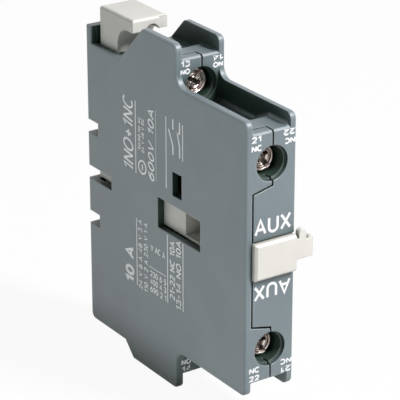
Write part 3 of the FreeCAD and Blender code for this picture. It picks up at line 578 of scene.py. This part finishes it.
# A plain one-line alphabet, one unit high: width, open lines, closed lines.
letterLines = {
    " ": (0.25, [], []),
    "-": (0.4, [[(0.02, 0.45), (0.4, 0.45)]], []),
    "+": (0.5, [[(0, 0.45), (0.5, 0.45)], [(0.25, 0.18), (0.25, 0.72)]], []),
    "/": (0.36, [[(0, 0), (0.36, 1)]], []),
    "0": (0.56, [], [oval(0.28, 0.5, 0.28, 0.5)]),
    "1": (0.32, [[(0, 0.76), (0.27, 1), (0.27, 0)]], []),
    "2": (0.56, [arc(0.28, 0.71, 0.27, 0.29, 165, -38) + [(0, 0), (0.56, 0)]], []),
    "3": (0.56, [arc(0.26, 0.75, 0.26, 0.25, 155, -80) + arc(0.26, 0.26, 0.3, 0.26, 80, -155)], []),
    "4": (0.6, [[(0.45, 0), (0.45, 1), (0, 0.28), (0.6, 0.28)]], []),
    "5": (0.56, [[(0.5, 1), (0.1, 1), (0.04, 0.52)] + arc(0.26, 0.32, 0.29, 0.32, 125, -145)], []),
    "6": (0.56, [arc(0.5, 0.3, 0.5, 0.7, 180, 95)], [oval(0.28, 0.31, 0.28, 0.31)]),
    "7": (0.54, [[(0, 1), (0.54, 1), (0.18, 0)]], []),
    "8": (0.56, [], [oval(0.28, 0.76, 0.23, 0.24), oval(0.28, 0.27, 0.28, 0.27)]),
    "9": (0.56, [arc(0.06, 0.7, 0.5, 0.7, 0, -85)], [oval(0.28, 0.69, 0.28, 0.31)]),
    "A": (0.68, [[(0, 0), (0.34, 1), (0.68, 0)], [(0.13, 0.33), (0.55, 0.33)]], []),
    "C": (0.66, [arc(0.37, 0.5, 0.37, 0.5, 48, 312, 16)], []),
    "D": (0.62, [], [[(0, 0), (0, 1)] + arc(0.27, 0.5, 0.35, 0.5, 90, -90)]),
    "H": (0.6, [[(0, 0), (0, 1)], [(0.6, 0), (0.6, 1)], [(0, 0.5), (0.6, 0.5)]], []),
    "N": (0.62, [[(0, 0), (0, 1)], [(0.62, 0), (0.62, 1)], [(0.02, 0.97), (0.6, 0.03)]], []),
    "O": (0.76, [], [oval(0.38, 0.5, 0.38, 0.5, 24)]),
    "U": (0.6, [[(0, 1)] + arc(0.3, 0.31, 0.3, 0.31, 180, 360) + [(0.6, 1)]], []),
    "V": (0.64, [[(0, 1), (0.32, 0), (0.64, 1)]], []),
    "X": (0.62, [[(0, 0), (0.62, 1)], [(0, 1), (0.62, 0)]], []),
    "z": (0.42, [[(0, 0.66), (0.42, 0.66), (0, 0), (0.42, 0)]], []),
}


def stroke(path, wide, closed=False):
    # A line of the given width along a path: each point moves half the width along the normal,
    # lengthened by 1/cos of half the bend so that the line keeps its width at corners.
    path = np.asarray(path, float)
    if closed:
        before, after = path - np.roll(path, 1, axis=0), np.roll(path, -1, axis=0) - path
    else:
        steps = np.diff(path, axis=0)
        before, after = np.concatenate([steps[:1], steps]), np.concatenate([steps, steps[-1:]])
    before = before / np.linalg.norm(before, axis=1, keepdims=True)
    after = after / np.linalg.norm(after, axis=1, keepdims=True)
    middle = before + after
    middle /= np.linalg.norm(middle, axis=1, keepdims=True)
    reach = wide / 2 / np.maximum(np.sum(middle * before, axis=1), inkForm["mitre"])
    normal = np.stack([-middle[:, 1], middle[:, 0]], axis=-1) * reach[:, None]
    ring = []
    for side, height in ((-1, -0.5), (1, -0.5), (1, 0.5), (-1, 0.5)):
        ring.append(np.concatenate([path + side * normal, np.full((len(path), 1), height)], axis=1))
    points = np.stack(ring, axis=1).reshape(-1, 3)
    ids = np.arange(len(points)).reshape(-1, 4)
    here, there = (ids, np.roll(ids, -1, axis=0)) if closed else (ids[:-1], ids[1:])
    sides = np.stack([here, there, np.roll(there, -1, axis=1), np.roll(here, -1, axis=1)], axis=-1)
    faces = sides.reshape(-1, 4).tolist()
    if not closed:
        faces += [ids[0].tolist(), ids[-1][::-1].tolist()]
    return points, faces


def lettering(words, span, rise, pen, slant=0.0):
    # The words' lines leaned by x + slant y, then stretched so that their ink fills span by rise.
    lines, start = [], 0.0
    for letter in words:
        wide, openLines, closedLines = letterLines[letter]
        for group, closed in ((openLines, False), (closedLines, True)):
            lines += [(np.array(line, float) + [start, 0], closed) for line in group]
        start += wide + inkForm["letterGap"]
    for line, _ in lines:
        line[:, 0] += slant * line[:, 1]
    spread = np.concatenate([line for line, _ in lines])
    low, high = spread.min(axis=0), spread.max(axis=0)
    first = np.array([span[0], rise[0]]) + pen / 2
    room = np.array([span[1] - span[0], rise[1] - rise[0]]) - pen
    return [stroke(first + room * (line - low) / (high - low), pen, closed)
            for line, closed in lines]


def printPiece(name, level, outward, rows):
    # rows: (reading, lines). A point (u, v, w) lands at u line + v tops + (level + w ink) outward.
    # Each line stands a little higher than the last, so that none lies in another's plane.
    allPoints, allFaces, total = [], [], 0
    out = np.array(outward, float)
    for reading, lines in rows:
        line, tops = (np.array(way, float) for way in readings[reading])
        for order, (points, faces) in enumerate(lines):
            above = inkForm["above"] + inkForm["step"] * (order % 3)
            height = np.where(points[:, 2] > 0, above, -inkForm["below"])
            placed = points[:, :1] * line + points[:, 1:2] * tops + (level + height)[:, None] * out
            allPoints.append(placed)
            allFaces += [[corner + total for corner in face] for face in faces]
            total += len(points)
    piece = makePiece(name, np.concatenate(allPoints), allFaces, whiteInk, "housing", smooth=False)
    closeUp(piece)
    return piece


def rule(start, stop, place, wide=0.3):
    # A printed rule: one straight stroke along the line of reading.
    return [stroke([(start, place), (stop, place)], wide)]


# Where each printed face lies, in millimetres along its outward direction. Each row below is a
# reading with its lines: words, span along the line, rise across it and width of the pen.
faceLevels = {"side": 12.5, "front": 31.3, "step": 5.3}
lean = 0.2
ring = stroke(oval(8.45, 8.3, 1.5, 1.5, 36), 0.4, True)
sideUpper = [
    ("climbing", lettering("1NO+1NC", (6.3, 23.4), (11.9, 16.1), 0.5, lean)),
    ("climbing", rule(6.2, 23.3, 10.95)),
    ("climbing", lettering("50/60 Hz AC", (12.3, 20.0), (8.95, 10.0), 0.18)),
    ("climbing", lettering("24 V 48 V DC", (11.9, 20.0), (7.5, 8.55), 0.18)),
    ("climbing", [ring, stroke([(7.8, 8.3), (9.1, 8.3)], 0.4)]),
    ("climbing", lettering("600V 10A", (6.5, 23.1), (3.5, 5.95), 0.42, lean)),
    ("climbing", rule(7.0, 23.5, 2.75, 0.12)),
    ("climbing", rule(6.8, 23.4, -1.3)),
    ("climbing", [stroke([(15.4, -4.0), (17.4, -4.0), (20.9, -2.3)], 0.45)]),
    ("climbing", [stroke([(21.2, -4.0), (23.6, -4.0)], 0.45)]),
    ("climbing", [stroke([(15.4, -6.6), (17.9, -6.6), (21.4, -5.6)], 0.45)]),
    ("climbing", [stroke([(21.1, -5.2), (21.1, -6.6), (23.6, -6.6)], 0.45)]),
    ("climbing", rule(15.1, 23.4, -7.75)),
]
sideLower = [
    ("climbing", lettering("10 A", (-21.5, -12.4), (12.1, 15.8), 0.8)),
    ("climbing", rule(-21.0, -4.5, 10.95)),
    ("climbing", lettering("24 V 6 A 48 V 3 A", (-21.4, -4.4), (8.7, 10.3), 0.24)),
    ("climbing", lettering("110 V 2 A 230 V 1 A", (-21.4, -4.4), (6.4, 8.0), 0.24)),
    ("across", lettering("V AC A", (-5.2, 0.6), (-10.4, -8.8), 0.26)),
    ("across", rule(-5.9, 1.0, -14.4, 0.18)),
    ("across", lettering("230 6 5", (-5.5, 1.0), (-16.7, -15.2), 0.26)),
    ("across", lettering("400 4 3", (-5.5, 1.0), (-18.6, -17.1), 0.26)),
    ("across", lettering("690 2 1", (-5.5, 1.0), (-20.5, -19.0), 0.26)),
    ("climbing", rule(-20.5, -4.1, -1.6)),
    ("climbing", lettering("21-22 NC 10A", (-19.0, -4.9), (-4.5, -2.5), 0.34)),
    ("climbing", lettering("13-14 NO 10A", (-20.6, -3.9), (-7.0, -5.0), 0.34)),
    ("climbing", rule(-20.3, -4.0, -7.75)),
]
printPiece("print_side_upper", faceLevels["side"], (-1, 0, 0), sideUpper)
printPiece("print_side_lower", faceLevels["side"], (-1, 0, 0), sideLower)

frontPen = 0.36
frontUpper = [
    ("upright", lettering("21", (-11.3, -8.9), (26.45, 27.9), frontPen)),
    ("upright", lettering("NC", (-11.3, -8.7), (24.5, 25.95), frontPen)),
    ("inverted", lettering("22", (0.4, 3.3), (-27.9, -26.5), frontPen)),
    ("inverted", lettering("NC", (0.3, 3.0), (-26.0, -24.6), frontPen)),
    ("upright", lettering("AUX", (-10.4, -1.0), (5.6, 9.4), 0.62)),
]
frontLower = [
    ("inverted", lettering("AUX", (0.9, 10.4), (5.7, 9.3), 0.62)),
    ("upright", lettering("NC", (-11.4, -8.7), (-26.05, -24.6), frontPen)),
    ("upright", lettering("22", (-11.4, -8.7), (-27.9, -26.5), frontPen)),
    ("inverted", lettering("21", (0.4, 3.0), (26.5, 27.9), frontPen)),
    ("inverted", lettering("NC", (0.3, 3.3), (24.6, 26.0), frontPen)),
]
printPiece("print_front_upper", faceLevels["front"], (0, -1, 0), frontUpper)
printPiece("print_front_lower", faceLevels["front"], (0, -1, 0), frontLower)

stepUpper = [
    ("upright", lettering("13", (-11.3, -8.9), (35.15, 36.6), frontPen)),
    ("upright", lettering("NO", (-11.4, -8.9), (33.5, 34.8), frontPen)),
    ("inverted", lettering("14", (0.4, 3.2), (-36.6, -35.2), frontPen)),
    ("inverted", lettering("NO", (0.5, 3.1), (-34.9, -33.6), frontPen)),
]
stepLower = [
    ("upright", lettering("NO", (-11.4, -8.8), (-34.9, -33.5), frontPen)),
    ("upright", lettering("14", (-11.3, -8.8), (-36.6, -35.2), frontPen)),
    ("inverted", lettering("13", (0.4, 2.9), (35.2, 36.6), frontPen)),
    ("inverted", lettering("NO", (0.4, 3.1), (33.6, 34.9), frontPen)),
]
printPiece("print_step_upper", faceLevels["step"], (0, -1, 0), stepUpper)
printPiece("print_step_lower", faceLevels["step"], (0, -1, 0), stepLower)
print("marks printed")


def seenDirectly(tree):
    # 1 for rays from the camera, a mirror or glass, and 0 for light that falls on things.
    rays = addNode(tree, "ShaderNodeLightPath")
    mirrored = addNode(tree, "ShaderNodeMath", {"operation": "MAXIMUM"}, {
        0: rays.outputs["Is Glossy Ray"], 1: rays.outputs["Is Transmission Ray"],
    })
    seen = addNode(tree, "ShaderNodeMath", {"operation": "MAXIMUM"}, {
        0: rays.outputs["Is Camera Ray"], 1: mirrored.outputs["Value"],
    })
    return seen.outputs["Value"]


def paperFloor(name, look):
    # Studio paper: pale and matt, shown white to the camera but for the object's soft shadow.
    material, tree = newMaterial(name)
    place = addNode(tree, "ShaderNodeTexCoord").outputs["Object"]
    fibre = addNode(tree, "ShaderNodeTexNoise", {
        "Scale": perMetre(look["fibreSize"]), "Detail": 3.0,
    }, {"Vector": place})
    colour = addNode(tree, "ShaderNodeMix", {
        "data_type": "RGBA", 6: linear(look["shade"]), 7: linear(look["light"]),
    }, {0: fibre.outputs["Fac"]})
    paper = addNode(tree, "ShaderNodeBsdfDiffuse", {"Roughness": look["roughness"]}, {
        "Color": colour.outputs[2],
    })
    glow = addNode(tree, "ShaderNodeEmission", {"Color": (1, 1, 1, 1), "Strength": 1.0})
    share = addNode(tree, "ShaderNodeMath", {"operation": "MULTIPLY", 1: look["ownLight"]}, {
        0: seenDirectly(tree),
    })
    mixed = addNode(tree, "ShaderNodeMixShader", (), {
        0: share.outputs["Value"], 1: paper.outputs["BSDF"], 2: glow.outputs["Emission"],
    })
    addNode(tree, "ShaderNodeOutputMaterial", (), {"Surface": mixed.outputs["Shader"]})
    return material


studioPaper = paperFloor("studioPaper", {
    "shade": "#E9E9E8", "light": "#F1F1F0", "fibreSize": 2.0, "roughness": 0.6,
    "ownLight": 0.94,           # share shown as plain white, so that the rest holds the shadow
})

floorForm = {"half": 1500.0, "steps": 9}
floorLevel = cadBox[0][2] / mm
stations = np.linspace(-floorForm["half"], floorForm["half"], floorForm["steps"])
u, v = np.meshgrid(stations, stations, indexing="ij")
floorPoints = np.stack([u, v, np.full_like(u, floorLevel)], axis=-1).reshape(-1, 3)
ids = np.arange(u.size).reshape(u.shape)
floorFaces = tiles(ids[:, :-1], ids[:, 1:]).tolist()
floorMesh = bpy.data.meshes.new("floor")
floorMesh.from_pydata((floorPoints * mm).tolist(), [], floorFaces)
floorMesh.materials.append(studioPaper)
floor = bpy.data.objects.new("floor", floorMesh)
scene.collection.objects.link(floor)

worldLook = {"tint": "#DFEEEA", "strength": 0.04}       # what lights the object from all round
world = bpy.data.worlds.new("studio")
scene.world = world
world.use_nodes = True
tree = world.node_tree
tree.nodes.clear()
soft = addNode(tree, "ShaderNodeBackground", {
    "Color": linear(worldLook["tint"]), "Strength": worldLook["strength"],
})
white = addNode(tree, "ShaderNodeBackground", {"Color": (1, 1, 1, 1), "Strength": 1.0})
both = addNode(tree, "ShaderNodeMixShader", (), {
    0: seenDirectly(tree), 1: soft.outputs["Background"], 2: white.outputs["Background"],
})
addNode(tree, "ShaderNodeOutputWorld", (), {"Surface": both.outputs["Shader"]})

# Place, aim and size in millimetres, power in watts.
lamps = {
    "frontSoftbox": {"place": (230, -470, 580), "aim": (-6, -10, 0), "size": 160, "power": 7.7,
                     "tint": (1.0, 0.975, 0.985)},
    "lowFill": {"place": (-480, -180, 60), "aim": (-6, 0, 0), "size": 160, "power": 0.31,
                "tint": (0.88, 1.0, 0.99)},
}
for name, lamp in lamps.items():
    light = bpy.data.lights.new(name, "AREA")
    light.shape = "SQUARE"
    light.size = lamp["size"] * mm
    light.energy = lamp["power"]
    light.color = lamp["tint"]
    stand = bpy.data.objects.new(name, light)
    stand.location = Vector(lamp["place"]) * mm
    stand.rotation_mode = "QUATERNION"
    towards = Vector(lamp["aim"]) - Vector(lamp["place"])
    stand.rotation_quaternion = towards.to_track_quat("-Z", "Y")
    scene.collection.objects.link(stand)

# Place in millimetres, azimuth from +Y towards +X and elevation in degrees, lens in millimetres.
cameraForm = {
    "place": (-250.5084, -368.2490, 188.2204), "azimuth": 33.922, "elevation": 22.840,
    "lens": 197.0, "sensor": 36.0, "near": 10.0, "far": 20000.0,
}
azimuth, elevation = math.radians(cameraForm["azimuth"]), math.radians(cameraForm["elevation"])
flat = math.cos(elevation)
ahead = Vector((math.sin(azimuth) * flat, math.cos(azimuth) * flat, -math.sin(elevation)))
camera = bpy.data.objects.new("camera", bpy.data.cameras.new("camera"))
camera.data.lens = cameraForm["lens"]
camera.data.sensor_width = cameraForm["sensor"]
camera.data.clip_start, camera.data.clip_end = cameraForm["near"] * mm, cameraForm["far"] * mm
camera.location = Vector(cameraForm["place"]) * mm
camera.rotation_mode = "QUATERNION"
camera.rotation_quaternion = ahead.to_track_quat("-Z", "Y")
scene.collection.objects.link(camera)
bpy.context.scene.camera = camera
scene.view_settings.view_transform = "Standard"
print("floor, lights and camera set")

bpy.context.view_layer.update()
